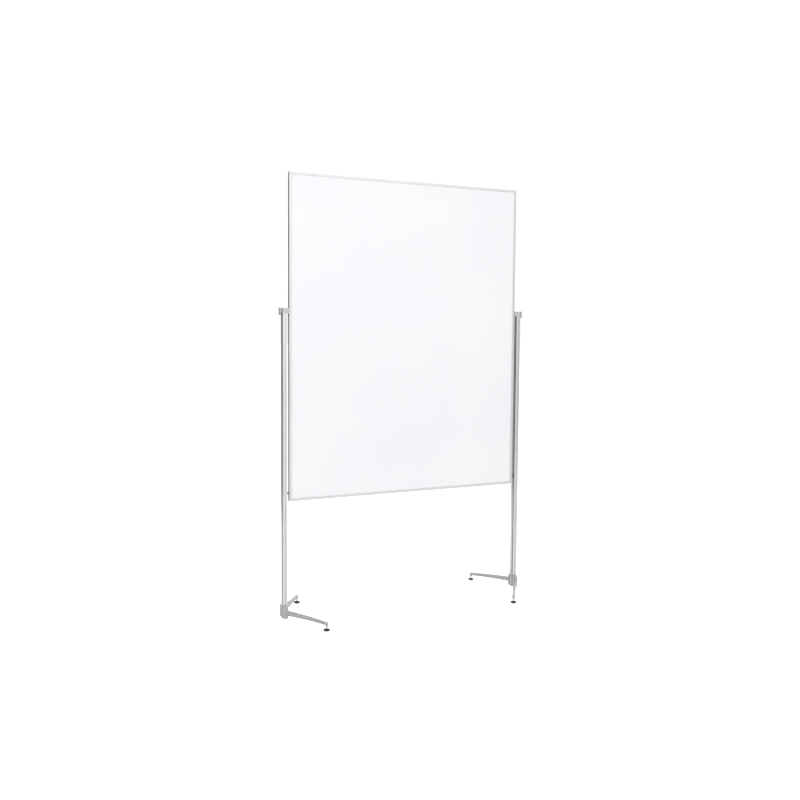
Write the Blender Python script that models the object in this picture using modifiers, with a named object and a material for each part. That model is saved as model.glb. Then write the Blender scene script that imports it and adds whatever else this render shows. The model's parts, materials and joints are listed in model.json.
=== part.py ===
"""Large whiteboard held between two posts, each on a V of cast legs with levelling feet.

World frame: X runs along the board, the writing side faces -Y, Z is up, and the origin is on the floor
below the middle of the board. Sizes are in metres, written in millimetres times MM.
"""

import math

import bmesh
import bpy
from mathutils import Matrix, Vector

MM = 0.001
GAP = 0.3 * MM            # clearance left between neighbouring pieces
COLLECTION = "whiteboard"

# Board
BOARD_WIDTH = 1200 * MM
BOARD_HEIGHT = 1500 * MM
BOARD_DEPTH = 19 * MM
BOARD_BOTTOM = 553 * MM
SHEET_THICKNESS = 0.45 * MM

# Frame extrusion: distances inward from its outer face, and half widths across the board's thickness
FRAME_FACE = 11.5 * MM
FRAME_LIP = 1.2 * MM
CHANNEL_MOUTH = 5.5 * MM
CHANNEL_HALF = 7.4 * MM
CHANNEL_LIP = 1.5 * MM
CHANNEL_FLOOR = 4.5 * MM
WEB_INNER = 6.0 * MM
MITRE_SETBACK = 0.25 * MM

# What slides in the channel: its thickness range inward from the board's outer face
SLIDER_OUTER = 1.9 * MM
SLIDER_INNER = 4.1 * MM
SLIDER_HALF = 6.9 * MM
BRACKET_LEG = 31.5 * MM

# Posts
POST_X = 621.5 * MM
POST_HALF_WIDTH = 11 * MM
POST_HALF_DEPTH = 15.5 * MM
POST_RECESS_HALF = 9.8 * MM      # half width between the recesses in the post's two sides
POST_RECESS_FRONT = -12.5 * MM
POST_RECESS_REAR = -3.5 * MM
POST_CORE_HALF_WIDTH = 8 * MM
POST_CORE_HALF_DEPTH = 12 * MM
POST_EDGE = 2 * MM
POST_GROOVE_HALF = 1.1 * MM
POST_GROOVE_DEPTH = 0.9 * MM
POST_BOTTOM = 14 * MM
POST_TOP = 1415.5 * MM
PLUG_REACH = 4.5 * MM     # how far the bottom plug's spigot goes up into the post

# Head and clamp
HEAD_BOTTOM = POST_TOP + GAP
HEAD_TOP = 1441 * MM
HEAD_HALF_DEPTH = 15.5 * MM
SPIGOT_HALF_WIDTH = 7.6 * MM
SPIGOT_HALF_DEPTH = 11.6 * MM
SPIGOT_LENGTH = 24 * MM
CLAMP_Z = 1425.5 * MM
STUD_RADIUS = 3 * MM
STUD_HOLE = 3.4 * MM
KNOB_HALF_HEIGHT = 16.5 * MM
KNOB_HALF_DEPTH = 9 * MM
KNOB_OUTER = 14 * MM      # from the head's outer face
KNOB_WAIST = 11.3 * MM
KNOB_INNER = 6 * MM
KNOB_CORNER = 1.5 * MM
KNOB_HORN = 2.2 * MM      # height of the flat at each end of the knob's dish
KNOB_DISH_STEPS = 8
KNOB_NECK_RADIUS = 7 * MM
KNOB_NECK_GAP = 0.5 * MM
KNOB_BORE_DEPTH = 9 * MM
CLAMP_NUT_HALF_HEIGHT = 12 * MM
HEAD_SCREW_Z = 1402 * MM
HEAD_SCREW_TIP = 3.2 * MM

# Screws: M4 for the heads and guides, M5 for the legs
SCREW_RADIUS = 2 * MM
SCREW_HOLE = 2.4 * MM
SCREW_CAP_RADIUS = 4 * MM
SCREW_CAP_HEIGHT = 2.5 * MM
SCREW_SOCKET_RADIUS = 1.5 * MM
SCREW_SOCKET_DEPTH = 1.3 * MM
BOLT_RADIUS = 2.5 * MM
BOLT_HOLE = 2.9 * MM
BOLT_CAP_RADIUS = 4.5 * MM
BOLT_CAP_HEIGHT = 4 * MM
BOLT_SOCKET_RADIUS = 2.2 * MM
BOLT_SOCKET_DEPTH = 2.4 * MM
BOLT_SEAT_RADIUS = 4.9 * MM
BOLT_SEAT = 21 * MM       # distance of the bolt heads' seats behind the post's middle
BOLT_TIP = 22 * MM        # distance of the bolts' tips in front of it
CUT_OVERRUN = 3 * MM      # how far a cutter runs past what it cuts

# Lower guide
GUIDE_Z = 590.5 * MM
GUIDE_HALF_HEIGHT = 5.5 * MM
GUIDE_NECK = 5 * MM
GUIDE_SEAT = 2 * MM       # from the guide's inner face to the seat of its screw's head
GUIDE_SCREW_CAP = 1.4 * MM
GUIDE_COUNTERBORE = 4.4 * MM
GUIDE_SCREW_REACH = 4.5 * MM

# Leg castings
SHOE_HALF_WIDTHS = {"front": 12.5 * MM, "rear": 15 * MM}
SHOE_DEPTH = 10.5 * MM
SHOE_BOTTOM = 10 * MM
SHOE_TOP = 69 * MM
SHOE_ROUND = 4 * MM
SHOE_GROOVE_HALF = 2.5 * MM
SHOE_GROOVE_DEPTH = 1.8 * MM
BOLT_HEIGHTS = {"lower": 22 * MM, "upper": 59.5 * MM}
PAD_X = 491 * MM
PAD_Y = 213 * MM
ARM_WIDTH_ROOT = 16 * MM
ARM_WIDTH_TIP = 13 * MM
ARM_TOP_ROOT = 50 * MM
ARM_TOP_TIP = 37.5 * MM
ARM_UNDER_ROOT = 28.5 * MM
ARM_UNDER_TIP = 24.5 * MM
ARM_ARCH = 2.5 * MM
ARM_BEAD = 0.9 * MM       # how far the bead along each lower edge stands out from the side
ARM_BEAD_HEIGHT = 4 * MM
ARM_STATIONS = 11
BOSS_RADIUS = 7.6 * MM
BOSS_TIP_RADIUS = 5 * MM
BOSS_BOTTOM = 17 * MM
BOSS_SHOULDER = 26 * MM
BOSS_TOP = 38.5 * MM
BOSS_ROUND = 1.8 * MM
STEM_BORE_TOP = 36 * MM
STEM_BORE_RADIUS = 3.4 * MM

# Levelling feet
PAD_RADIUS = 15 * MM
PAD_HEIGHT = 8 * MM
SOCKET_RADIUS = 3.5 * MM
SOCKET_FLOOR = 3.5 * MM
STEM_RADIUS = 3 * MM
STEM_BOTTOM = 4 * MM
STEM_TOP = 29.5 * MM
COLLAR_RADIUS = 5.2 * MM
COLLAR_HEIGHT = 3 * MM
TURNED_STEPS = 28

SIDES = {"left": -1, "right": 1}
ENDS = {"front": -1, "rear": 1}

MATERIALS = {
    "sheet_white": ((0.90, 0.90, 0.92), 0.18, 0.0),
    "core_board": ((0.62, 0.50, 0.36), 0.9, 0.0),
    "anodised": ((0.80, 0.80, 0.81), 0.35, 1.0),
    "cast_silver": ((0.62, 0.62, 0.63), 0.45, 0.6),
    "zinc_steel": ((0.55, 0.55, 0.56), 0.3, 1.0),
    "grey_plastic": ((0.35, 0.35, 0.36), 0.5, 0.0),
    "black_rubber": ((0.02, 0.02, 0.02), 0.6, 0.0),
}


# ---------------------------------------------------------------- scene and object helpers

def clear_scene():
    for obj in list(bpy.data.objects):
        bpy.data.objects.remove(obj, do_unlink=True)


def collection(name):
    made = bpy.data.collections.new(name)
    bpy.context.scene.collection.children.link(made)
    return made


def material(name):
    found = bpy.data.materials.get(name)
    if found:
        return found
    colour, roughness, metallic = MATERIALS[name]
    made = bpy.data.materials.new(name)
    made.use_nodes = True
    shader = made.node_tree.nodes["Principled BSDF"]
    shader.inputs["Base Color"].default_value = (*colour, 1.0)
    shader.inputs["Roughness"].default_value = roughness
    shader.inputs["Metallic"].default_value = metallic
    made.diffuse_color = (*colour, 1.0)
    return made


def face_outwards(bm):
    bm.normal_update()
    bmesh.ops.recalc_face_normals(bm, faces=bm.faces)


def object_from_bmesh(bm, name, group):
    face_outwards(bm)
    mesh = bpy.data.meshes.new(name)
    bm.to_mesh(mesh)
    bm.free()
    obj = bpy.data.objects.new(name, mesh)
    group.objects.link(obj)
    return obj


def refresh_normals(obj):
    """Turns the faces outwards again after vertices have been moved or mirrored."""
    bm = bmesh.new()
    bm.from_mesh(obj.data)
    face_outwards(bm)
    bm.to_mesh(obj.data)
    bm.free()


def finish_part(obj, finish, parent=None, origin=None, sharp_angle=35):
    """Gives a part its material and shading, puts its origin on its joint's axis, and parents it."""
    obj.data.materials.clear()
    obj.data.materials.append(material(finish))
    obj.data.shade_smooth()
    obj.data.set_sharp_from_angle(angle=math.radians(sharp_angle))
    if origin is not None:
        point = Vector(origin)
        obj.data.transform(obj.matrix_world)
        obj.data.transform(Matrix.Translation(-point))
        obj.matrix_world = Matrix.Translation(point)
    if parent is not None:
        bpy.context.view_layer.update()
        obj.parent = parent
        obj.matrix_parent_inverse = parent.matrix_world.inverted()
    return obj


def empty(name, location, group):
    made = bpy.data.objects.new(name, None)
    made.location = location
    made.empty_display_size = 30 * MM
    group.objects.link(made)
    bpy.context.view_layer.update()
    return made


def as_cutter(obj):
    obj.hide_render = True
    obj.display_type = "WIRE"
    return obj


def boolean(target, other, operation):
    modifier = target.modifiers.new(operation.lower() + "_" + other.name, "BOOLEAN")
    modifier.operation = operation
    modifier.solver = "EXACT"
    modifier.object = as_cutter(other)


# ---------------------------------------------------------------- shape helpers

def block(name, low, high, group, radius=0.0, segments=2, keep_sharp=None):
    """A box between two corners; edges are rounded unless keep_sharp(edge middle) is true."""
    bm = bmesh.new()
    bmesh.ops.create_cube(bm, size=1.0)
    low = Vector(low)
    high = Vector(high)
    size = high - low
    bmesh.ops.scale(bm, vec=size, verts=bm.verts)
    bmesh.ops.translate(bm, vec=(low + high) / 2, verts=bm.verts)
    if radius > 0:
        edges = [
            edge for edge in bm.edges
            if keep_sharp is None or not keep_sharp((edge.verts[0].co + edge.verts[1].co) / 2)
        ]
        bmesh.ops.bevel(
            bm, geom=edges, offset=radius, offset_type="OFFSET", segments=segments,
            profile=0.5, affect="EDGES", clamp_overlap=True,
        )
    return object_from_bmesh(bm, name, group)


def rod(name, start, end, radius, group, segments=24, end_radius=None):
    """A cylinder or cone frustum from start to end."""
    start = Vector(start)
    end = Vector(end)
    along = end - start
    bm = bmesh.new()
    bmesh.ops.create_cone(
        bm, cap_ends=True, segments=segments, radius1=radius,
        radius2=radius if end_radius is None else end_radius, depth=along.length,
    )
    turn = along.to_track_quat("Z", "Y").to_matrix().to_4x4()
    bm.transform(Matrix.Translation((start + end) / 2) @ turn)
    return object_from_bmesh(bm, name, group)


def rounded_outline(corners, segments=3):
    """An outline from corners (x, y, radius), each rounded with an arc of that radius."""
    points = []
    count = len(corners)
    for index, (x, y, radius) in enumerate(corners):
        corner = Vector((x, y))
        if radius <= 0:
            points.append(corner)
            continue
        before = Vector(corners[index - 1][:2]) - corner
        after = Vector(corners[(index + 1) % count][:2]) - corner
        half = before.angle(after) / 2
        tangent = radius / math.tan(half)
        centre = corner + (before.normalized() + after.normalized()).normalized() * radius / math.sin(half)
        first = corner + before.normalized() * tangent - centre
        turn = first.angle_signed(corner + after.normalized() * tangent - centre)
        for step in range(segments + 1):
            angle = -turn * step / segments
            points.append(centre + Matrix.Rotation(angle, 2) @ first)
    return points


def extrusion(name, outlines, length, group):
    """A flat outline, with any holes after it, extruded along local Z and centred there."""
    curve = bpy.data.curves.new(name, "CURVE")
    curve.dimensions = "2D"
    curve.fill_mode = "BOTH"
    curve.extrude = length / 2
    for outline in outlines:
        spline = curve.splines.new("POLY")
        spline.points.add(len(outline) - 1)
        for point, place in zip(spline.points, outline):
            point.co = (place.x, place.y, 0, 1)
        spline.use_cyclic_u = True
    drawn = bpy.data.objects.new(name, curve)
    group.objects.link(drawn)
    bpy.context.view_layer.update()
    mesh = bpy.data.meshes.new_from_object(drawn.evaluated_get(bpy.context.evaluated_depsgraph_get()))
    bpy.data.objects.remove(drawn)
    bm = bmesh.new()
    bm.from_mesh(mesh)
    bpy.data.meshes.remove(mesh)
    bmesh.ops.remove_doubles(bm, verts=bm.verts, dist=0.01 * MM)
    return object_from_bmesh(bm, name, group)


def placed(obj, origin, x_axis, z_axis):
    """Turns an extrusion so its local X and Z lie along the two given world axes."""
    x_axis = Vector(x_axis)
    z_axis = Vector(z_axis)
    turn = Matrix((x_axis, z_axis.cross(x_axis), z_axis)).transposed().to_4x4()
    obj.data.transform(Matrix.Translation(Vector(origin)) @ turn)
    return obj


# ---------------------------------------------------------------- board

def frame_outline():
    """The frame's section: x is 0 at the outer face and negative inward, y runs across the thickness."""
    half = BOARD_DEPTH / 2
    pocket = half - FRAME_LIP
    small = 0.4 * MM
    upper = [
        (-FRAME_FACE, half, small),
        (0, half, 1.0 * MM),
        (0, CHANNEL_MOUTH, small),
        (-CHANNEL_LIP, CHANNEL_MOUTH, 0),
        (-CHANNEL_LIP, CHANNEL_HALF, 0),
        (-CHANNEL_FLOOR, CHANNEL_HALF, 0),
    ]
    lower = [(x, -y, radius) for x, y, radius in reversed(upper)]
    inside = [
        (-FRAME_FACE, -pocket, 0),
        (-WEB_INNER, -pocket, 0),
        (-WEB_INNER, pocket, 0),
        (-FRAME_FACE, pocket, 0),
    ]
    return rounded_outline(upper + lower + inside, segments=2)


def make_frame_member(name, outward, along, length, group, parent):
    member = extrusion(name, [frame_outline()], length, group)
    for vertex in member.data.vertices:
        setback = MITRE_SETBACK - vertex.co.x
        vertex.co.z -= math.copysign(setback, vertex.co.z)
    middle = Vector((0, 0, BOARD_BOTTOM + BOARD_HEIGHT / 2))
    reach = BOARD_WIDTH / 2 if abs(outward[0]) else BOARD_HEIGHT / 2
    placed(member, middle + Vector(outward) * reach, outward, along)
    return finish_part(member, "anodised", parent)


def make_corner_bracket(name, side, end, group, parent):
    """An L that joins two frame members inside their channels."""
    far = BRACKET_LEG
    corners = [
        (SLIDER_OUTER, SLIDER_OUTER, 0),
        (far, SLIDER_OUTER, 0),
        (far, SLIDER_INNER, 0),
        (SLIDER_INNER, SLIDER_INNER, 0),
        (SLIDER_INNER, far, 0),
        (SLIDER_OUTER, far, 0),
    ]
    bracket = extrusion(name, [rounded_outline(corners)], 2 * SLIDER_HALF, group)
    height = BOARD_BOTTOM if end < 0 else BOARD_BOTTOM + BOARD_HEIGHT
    for vertex in bracket.data.vertices:
        inward_x, inward_z, across = vertex.co
        vertex.co = (side * (BOARD_WIDTH / 2 - inward_x), across, height - end * inward_z)
    refresh_normals(bracket)
    return finish_part(bracket, "zinc_steel", parent)


def make_board(group):
    base = empty("board_slide", (0, 0, BOARD_BOTTOM), group)
    reach_x = BOARD_WIDTH / 2 - WEB_INNER - GAP
    low_z = BOARD_BOTTOM + WEB_INNER + GAP
    high_z = BOARD_BOTTOM + BOARD_HEIGHT - WEB_INNER - GAP
    sheet_outer = BOARD_DEPTH / 2 - FRAME_LIP - GAP
    sheet_inner = sheet_outer - SHEET_THICKNESS
    core_half = sheet_inner - GAP
    for end_name, end in ENDS.items():
        faces = sorted((end * sheet_inner, end * sheet_outer))
        low = (-reach_x, faces[0], low_z)
        high = (reach_x, faces[1], high_z)
        finish_part(block("writing_sheet_" + end_name, low, high, group), "sheet_white", base)
    low = (-reach_x, -core_half, low_z)
    high = (reach_x, core_half, high_z)
    finish_part(block("board_core", low, high, group), "core_board", base)

    make_frame_member("frame_left", (-1, 0, 0), (0, 0, 1), BOARD_HEIGHT, group, base)
    make_frame_member("frame_right", (1, 0, 0), (0, 0, 1), BOARD_HEIGHT, group, base)
    make_frame_member("frame_top", (0, 0, 1), (1, 0, 0), BOARD_WIDTH, group, base)
    make_frame_member("frame_bottom", (0, 0, -1), (1, 0, 0), BOARD_WIDTH, group, base)
    for side_name, side in SIDES.items():
        for end_name, end in (("bottom", -1), ("top", 1)):
            name = "corner_bracket_" + end_name + "_" + side_name
            make_corner_bracket(name, side, end, group, base)


# ---------------------------------------------------------------- post, head and clamp

def post_outlines():
    """A tube, deeper than it is wide, with a recess in each side, a fine front groove and its core."""
    front = -POST_HALF_DEPTH
    groove_floor = front + POST_GROOVE_DEPTH
    small = 0.5 * MM
    right = [
        (POST_GROOVE_HALF, groove_floor, 0),
        (POST_GROOVE_HALF, front, 0),
        (POST_HALF_WIDTH, front, POST_EDGE),
        (POST_HALF_WIDTH, POST_RECESS_FRONT, small),
        (POST_RECESS_HALF, POST_RECESS_FRONT, 0),
        (POST_RECESS_HALF, POST_RECESS_REAR, 0),
        (POST_HALF_WIDTH, POST_RECESS_REAR, small),
        (POST_HALF_WIDTH, POST_HALF_DEPTH, POST_EDGE),
    ]
    left = [(-x, y, radius) for x, y, radius in reversed(right)]
    core = [
        (-POST_CORE_HALF_WIDTH, -POST_CORE_HALF_DEPTH, MM),
        (POST_CORE_HALF_WIDTH, -POST_CORE_HALF_DEPTH, MM),
        (POST_CORE_HALF_WIDTH, POST_CORE_HALF_DEPTH, MM),
        (-POST_CORE_HALF_WIDTH, POST_CORE_HALF_DEPTH, MM),
    ]
    return [rounded_outline(right + left), rounded_outline(core, segments=2)]


def make_post(side_name, side, group, cutters, parent):
    post = extrusion("post_" + side_name, post_outlines(), POST_TOP - POST_BOTTOM, group)
    x = side * POST_X
    placed(post, (x, 0, (POST_TOP + POST_BOTTOM) / 2), (1, 0, 0), (0, 0, 1))
    past_face = POST_HALF_DEPTH + CUT_OVERRUN
    for level, height in BOLT_HEIGHTS.items():
        name = "post_bolt_hole_" + level + "_" + side_name
        cut = rod(name, (x, -past_face, height), (x, past_face, height), BOLT_HOLE, cutters)
        boolean(post, cut, "DIFFERENCE")
    name = "post_head_screw_hole_" + side_name
    cut = rod(name, (x, 0, HEAD_SCREW_Z), (x, past_face, HEAD_SCREW_Z), SCREW_HOLE, cutters)
    boolean(post, cut, "DIFFERENCE")
    name = "post_guide_screw_hole_" + side_name
    outside = side * (POST_X - POST_HALF_WIDTH - CUT_OVERRUN)
    inside = side * (POST_X - POST_CORE_HALF_WIDTH + CUT_OVERRUN)
    cut = rod(name, (outside, 0, GUIDE_Z), (inside, 0, GUIDE_Z), SCREW_HOLE, cutters)
    boolean(post, cut, "DIFFERENCE")
    return finish_part(post, "anodised", parent)


def make_head(side_name, side, group, cutters, parent):
    """A clamp casting: a body that reaches the board's side, and a spigot down into the post."""
    inner = side * (BOARD_WIDTH / 2 + GAP)
    outer = side * (POST_X + POST_HALF_WIDTH)
    low_x, high_x = sorted((inner, outer))
    lowest_rounded = HEAD_BOTTOM + MM
    head = block(
        "head_" + side_name, (low_x, -HEAD_HALF_DEPTH, HEAD_BOTTOM), (high_x, HEAD_HALF_DEPTH, HEAD_TOP),
        group, radius=2 * MM, segments=3, keep_sharp=lambda middle: middle.z < lowest_rounded,
    )
    x = side * POST_X
    spigot = block(
        "head_spigot_" + side_name,
        (x - SPIGOT_HALF_WIDTH, -SPIGOT_HALF_DEPTH, HEAD_BOTTOM - SPIGOT_LENGTH),
        (x + SPIGOT_HALF_WIDTH, SPIGOT_HALF_DEPTH, HEAD_BOTTOM + CUT_OVERRUN), cutters,
    )
    boolean(head, spigot, "UNION")
    cut = rod("head_stud_hole_" + side_name, (inner - side * CUT_OVERRUN, 0, CLAMP_Z),
              (outer + side * CUT_OVERRUN, 0, CLAMP_Z), STUD_HOLE, cutters)
    boolean(head, cut, "DIFFERENCE")
    cut = rod("head_screw_hole_" + side_name, (x, HEAD_SCREW_TIP - MM, HEAD_SCREW_Z),
              (x, SPIGOT_HALF_DEPTH + CUT_OVERRUN, HEAD_SCREW_Z), SCREW_HOLE, cutters)
    boolean(head, cut, "DIFFERENCE")
    return finish_part(head, "cast_silver", parent)


def make_head_screw(side_name, side, group, cutters, parent):
    x = side * POST_X
    seat = POST_HALF_DEPTH + GAP
    top = seat + SCREW_CAP_HEIGHT
    screw = rod("head_screw_" + side_name, (x, HEAD_SCREW_TIP, HEAD_SCREW_Z), (x, seat + MM, HEAD_SCREW_Z),
                SCREW_RADIUS, group)
    cap = rod("head_screw_cap_" + side_name, (x, seat, HEAD_SCREW_Z), (x, top, HEAD_SCREW_Z),
              SCREW_CAP_RADIUS, cutters, end_radius=0.85 * SCREW_CAP_RADIUS)
    boolean(screw, cap, "UNION")
    socket = rod("head_screw_socket_" + side_name, (x, top - SCREW_SOCKET_DEPTH, HEAD_SCREW_Z),
                 (x, top + MM, HEAD_SCREW_Z), SCREW_SOCKET_RADIUS, cutters, segments=6)
    boolean(screw, socket, "DIFFERENCE")
    return finish_part(screw, "zinc_steel", parent)


def slider_span(side):
    """The two X limits of a piece that slides in the board's side channel."""
    return sorted((side * (BOARD_WIDTH / 2 - SLIDER_OUTER), side * (BOARD_WIDTH / 2 - SLIDER_INNER)))


def make_clamp_nut(side_name, side, group, cutters, parent):
    low_x, high_x = slider_span(side)
    low = (low_x, -SLIDER_HALF, CLAMP_Z - CLAMP_NUT_HALF_HEIGHT)
    high = (high_x, SLIDER_HALF, CLAMP_Z + CLAMP_NUT_HALF_HEIGHT)
    nut = block("clamp_nut_" + side_name, low, high, group)
    cut = rod("clamp_nut_hole_" + side_name, (low_x - CUT_OVERRUN, 0, CLAMP_Z),
              (high_x + CUT_OVERRUN, 0, CLAMP_Z), STUD_HOLE, cutters)
    boolean(nut, cut, "DIFFERENCE")
    return finish_part(nut, "zinc_steel", parent)


def knob_outline():
    """The knob's side view: x outward from the post's face, y up, with its dish on the outer side."""
    height = KNOB_HALF_HEIGHT
    sag = KNOB_OUTER - KNOB_WAIST
    corners = [(KNOB_INNER, -height, KNOB_CORNER), (KNOB_OUTER - MM, -height, KNOB_CORNER)]
    for step in range(KNOB_DISH_STEPS + 1):
        across = -1 + 2 * step / KNOB_DISH_STEPS
        corners.append((KNOB_OUTER - sag * (1 - across * across), across * (height - KNOB_HORN), 0))
    corners.append((KNOB_OUTER - MM, height, KNOB_CORNER))
    corners.append((KNOB_INNER, height, KNOB_CORNER))
    return rounded_outline(corners)


def make_clamp_knob(side_name, side, group, cutters):
    """A wing knob, dished on its outer side, with a round neck towards the head, and its stud."""
    face = POST_X + POST_HALF_WIDTH
    axis_point = (side * face, 0, CLAMP_Z)
    knob = extrusion("clamp_knob_" + side_name, [knob_outline()], 2 * KNOB_HALF_DEPTH, group)
    for vertex in knob.data.vertices:
        outward, up, across = vertex.co
        vertex.co = (side * (face + outward), across, CLAMP_Z + up)
    refresh_normals(knob)
    soften = knob.modifiers.new("soften", "BEVEL")
    soften.width = 1.2 * MM
    soften.segments = 2
    soften.limit_method = "ANGLE"
    soften.angle_limit = math.radians(50)
    neck = rod("knob_neck_" + side_name, (side * (face + KNOB_NECK_GAP), 0, CLAMP_Z),
               (side * (face + KNOB_INNER + MM), 0, CLAMP_Z), KNOB_NECK_RADIUS, cutters, segments=TURNED_STEPS)
    boolean(knob, neck, "UNION")
    cut = rod("knob_bore_" + side_name, (side * (face - MM), 0, CLAMP_Z),
              (side * (face + KNOB_BORE_DEPTH), 0, CLAMP_Z), STUD_HOLE, cutters)
    boolean(knob, cut, "DIFFERENCE")
    turn = empty("clamp_turn_" + side_name, axis_point, group)
    finish_part(knob, "cast_silver", turn, axis_point)

    inner_end = BOARD_WIDTH / 2 - SLIDER_INNER + GAP
    outer_end = face + KNOB_BORE_DEPTH - GAP
    stud = rod("clamp_stud_" + side_name, (side * inner_end, 0, CLAMP_Z), (side * outer_end, 0, CLAMP_Z),
               STUD_RADIUS, group)
    finish_part(stud, "zinc_steel", turn, axis_point)


def make_guide(side_name, side, group, cutters, parent):
    """A T-shaped block: its head slides in the channel, its neck reaches the post; its screw."""
    inner = BOARD_WIDTH / 2 - SLIDER_INNER
    flange = BOARD_WIDTH / 2 - SLIDER_OUTER
    near_post = POST_X - POST_HALF_WIDTH - GAP
    corners = [
        (inner, -SLIDER_HALF),
        (flange, -SLIDER_HALF),
        (flange, -GUIDE_NECK),
        (near_post, -GUIDE_NECK),
        (near_post, GUIDE_NECK),
        (flange, GUIDE_NECK),
        (flange, SLIDER_HALF),
        (inner, SLIDER_HALF),
    ]
    outline = [Vector((side * x, y)) for x, y in corners]
    guide = extrusion("lower_guide_" + side_name, [outline], 2 * GUIDE_HALF_HEIGHT, group)
    guide.data.transform(Matrix.Translation((0, 0, GUIDE_Z)))
    seat = inner + GUIDE_SEAT
    cut = rod("guide_hole_" + side_name, (side * (inner - CUT_OVERRUN), 0, GUIDE_Z),
              (side * (near_post + CUT_OVERRUN), 0, GUIDE_Z), SCREW_HOLE, cutters)
    boolean(guide, cut, "DIFFERENCE")
    cut = rod("guide_counterbore_" + side_name, (side * (inner - CUT_OVERRUN), 0, GUIDE_Z),
              (side * seat, 0, GUIDE_Z), GUIDE_COUNTERBORE, cutters)
    boolean(guide, cut, "DIFFERENCE")
    finish_part(guide, "grey_plastic", parent)

    cap_outer = seat - GAP
    screw = rod("guide_screw_" + side_name, (side * (cap_outer - MM), 0, GUIDE_Z),
                (side * (near_post + GUIDE_SCREW_REACH), 0, GUIDE_Z), SCREW_RADIUS, group)
    cap = rod("guide_screw_cap_" + side_name, (side * (cap_outer - GUIDE_SCREW_CAP), 0, GUIDE_Z),
              (side * cap_outer, 0, GUIDE_Z), SCREW_CAP_RADIUS, cutters)
    boolean(screw, cap, "UNION")
    finish_part(screw, "zinc_steel", parent)


def make_bottom_plug(side_name, side, group, cutters, parent):
    x = side * POST_X
    plug = block("post_plug_" + side_name, (x - POST_HALF_WIDTH, -POST_HALF_DEPTH, SHOE_BOTTOM),
                 (x + POST_HALF_WIDTH, POST_HALF_DEPTH, POST_BOTTOM - GAP), group, radius=0.8 * MM)
    spigot = block(
        "post_plug_spigot_" + side_name, (x - SPIGOT_HALF_WIDTH, -SPIGOT_HALF_DEPTH, SHOE_BOTTOM + MM),
        (x + SPIGOT_HALF_WIDTH, SPIGOT_HALF_DEPTH, POST_BOTTOM + PLUG_REACH), cutters,
    )
    boolean(plug, spigot, "UNION")
    return finish_part(plug, "black_rubber", parent)


# ---------------------------------------------------------------- legs and feet

def turned(name, profile, group):
    """A profile of (radius, height) points turned about Z; it runs down the outer side."""
    mesh = bpy.data.meshes.new(name)
    edges = [(index, index + 1) for index in range(len(profile) - 1)]
    mesh.from_pydata([(radius, 0, height) for radius, height in profile], edges, [])
    obj = bpy.data.objects.new(name, mesh)
    group.objects.link(obj)
    turning = obj.modifiers.new("turn", "SCREW")
    turning.steps = TURNED_STEPS
    turning.render_steps = TURNED_STEPS
    turning.use_smooth_shade = True
    turning.use_merge_vertices = True
    turning.merge_threshold = 0.01 * MM
    return obj


def arm_section(width, under, top):
    """The arm's section as (across, height) points: a rounded top and a bead along each lower edge."""
    half = width / 2
    waist = half - ARM_BEAD
    bead_top = under + ARM_BEAD_HEIGHT
    right = [
        (half, under, 1.5 * MM),
        (half, bead_top, 0.5 * MM),
        (waist, bead_top + ARM_BEAD, 0),
        (waist, top, 3 * MM),
    ]
    left = [(-across, height, radius) for across, height, radius in reversed(right)]
    return [(point.x, point.y) for point in rounded_outline(right + left)]


def make_arm(name, start, end, group):
    """A gently arched arm, lofted through its sections from the shoe to the foot's boss."""
    along = (end - start).normalized()
    across = Vector((-along.y, along.x, 0))
    bm = bmesh.new()
    rings = []
    for station in range(ARM_STATIONS):
        way = station / (ARM_STATIONS - 1)
        width = ARM_WIDTH_ROOT + (ARM_WIDTH_TIP - ARM_WIDTH_ROOT) * way
        top = ARM_TOP_ROOT + (ARM_TOP_TIP - ARM_TOP_ROOT) * way * way
        under = ARM_UNDER_ROOT + (ARM_UNDER_TIP - ARM_UNDER_ROOT) * way + ARM_ARCH * math.sin(math.pi * way)
        centre = start.lerp(end, way)
        ring = [
            bm.verts.new(centre + across * sideways + Vector((0, 0, height)))
            for sideways, height in arm_section(width, under, top)
        ]
        rings.append(ring)
    for ring, following in zip(rings, rings[1:]):
        count = len(ring)
        for index in range(count):
            after = (index + 1) % count
            bm.faces.new((ring[index], ring[after], following[after], following[index]))
    bm.faces.new(reversed(rings[0]))
    bm.faces.new(rings[-1])
    return object_from_bmesh(bm, name, group)


def make_boss(name, foot, cutters):
    """The arm's rounded end, which narrows downward to the foot's stem."""
    profile = [
        (0, BOSS_TOP),
        (BOSS_RADIUS - BOSS_ROUND, BOSS_TOP),
        (BOSS_RADIUS - 0.3 * BOSS_ROUND, BOSS_TOP - 0.3 * BOSS_ROUND),
        (BOSS_RADIUS, BOSS_TOP - BOSS_ROUND),
        (BOSS_RADIUS, BOSS_SHOULDER),
        (BOSS_TIP_RADIUS, BOSS_BOTTOM),
        (0, BOSS_BOTTOM),
    ]
    boss = turned(name, profile, cutters)
    boss.location = foot
    return boss


def cut_bolt_holes(leg, x, end, tag, cutters):
    """Through holes with sunk seats in the rear casting; blind, tapped holes in the front one."""
    near = POST_HALF_DEPTH + GAP - MM
    past = POST_HALF_DEPTH + SHOE_DEPTH + CUT_OVERRUN
    for level, height in BOLT_HEIGHTS.items():
        name = level + "_" + tag
        if end > 0:
            seat = rod("leg_bolt_seat_" + name, (x, BOLT_SEAT, height), (x, past, height),
                       BOLT_SEAT_RADIUS, cutters)
            boolean(leg, seat, "DIFFERENCE")
        depth = past if end > 0 else BOLT_TIP + MM
        hole = rod("leg_bolt_hole_" + name, (x, end * near, height), (x, end * depth, height),
                   BOLT_HOLE, cutters)
        boolean(leg, hole, "DIFFERENCE")


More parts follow.
